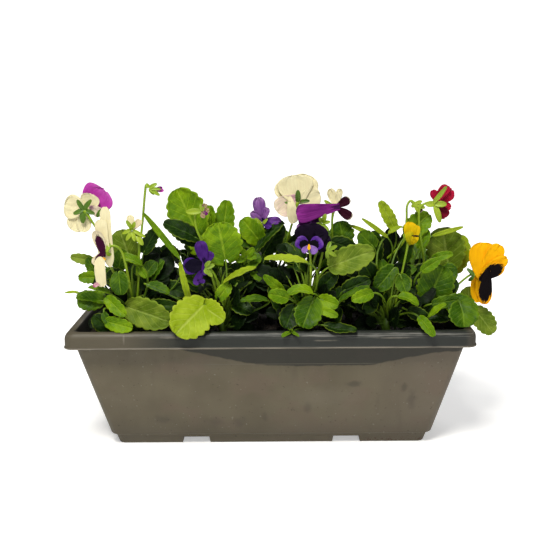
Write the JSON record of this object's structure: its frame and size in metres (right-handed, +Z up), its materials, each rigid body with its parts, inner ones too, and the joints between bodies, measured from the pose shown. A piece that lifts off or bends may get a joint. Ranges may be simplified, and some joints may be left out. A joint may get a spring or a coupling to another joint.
{
  "type": "planted window box",
  "caption": "Rectangular plastic window box with tapered walls, a rolled rim and channelled feet, filled with soil and planted with pansies in leaf and flower.",
  "frame": {"origin": "on the ground under the middle of the trough", "axes": "+X along the trough's long side, -Y towards its front, +Z up"},
  "size_m": [0.5514, 0.2144, 0.3546],
  "materials": {
    "trough_plastic": "satin",
    "soil": "matte",
    "stem_green": "satin",
    "leaf_grey": "matte",
    "leaf_mid": "satin",
    "leaf_bright": "satin",
    "leaf_dark": "satin",
    "petal_cream": "matte",
    "petal_violet": "matte",
    "petal_mauve": "matte",
    "petal_maroon": "matte",
    "petal_crimson": "matte",
    "petal_yellow": "matte",
    "bud_brown": "matte"
  },
  "bodies": {
    "root": {"trough": "trough_plastic", "rim_skirt": "trough_plastic", "rim_top": "trough_plastic", "foot_left": "trough_plastic", "foot_middle": "trough_plastic", "foot_right": "trough_plastic", "soil": "soil", "plant_1": "stem_green", "plant_2": "stem_green", "plant_3": "stem_green", "plant_4": "stem_green", "plant_5": "stem_green", "plant_6": "stem_green", "plant_7": "stem_green", "plant_8": "stem_green", "leaf_01": "leaf_grey", "leaf_02": "leaf_mid", "leaf_03": "leaf_bright", "leaf_04": "leaf_dark", "leaf_05": "leaf_grey", "leaf_06": "leaf_bright", "leaf_07": "leaf_dark", "leaf_08": "leaf_bright", "leaf_09": "leaf_bright", "leaf_10": "leaf_bright", "leaf_11": "leaf_dark", "leaf_12": "leaf_bright", "leaf_13": "leaf_bright", "leaf_14": "leaf_mid", "leaf_15": "leaf_bright", "leaf_16": "leaf_grey", "leaf_17": "leaf_dark", "leaf_18": "leaf_mid", "leaf_19": "leaf_bright", "leaf_20": "leaf_bright", "leaf_21": "leaf_bright", "leaf_22": "leaf_mid", "leaf_23": "leaf_bright", "leaf_24": "leaf_mid", "leaf_25": "leaf_mid", "leaf_26": "leaf_mid", "leaf_27": "leaf_grey", "leaf_28": "leaf_mid", "leaf_29": "leaf_bright", "leaf_30": "leaf_bright", "pansy_cream_left": "petal_cream", "pansy_cream_side": "petal_cream", "pansy_cream_small": "petal_cream", "pansy_violet_side": "petal_violet", "pansy_mauve": "petal_mauve", "pansy_cream_tall": "petal_cream", "pansy_purple_folded": "petal_mauve", "pansy_maroon_side": "petal_maroon", "pansy_dark_front": "petal_violet", "pansy_crimson": "petal_crimson", "pansy_yellow": "petal_yellow", "bud_tall": "leaf_bright", "bud_withered": "bud_brown", "bud_yellow": "petal_yellow", "bud_drooping": "leaf_bright"}
  },
  "joints": []
}
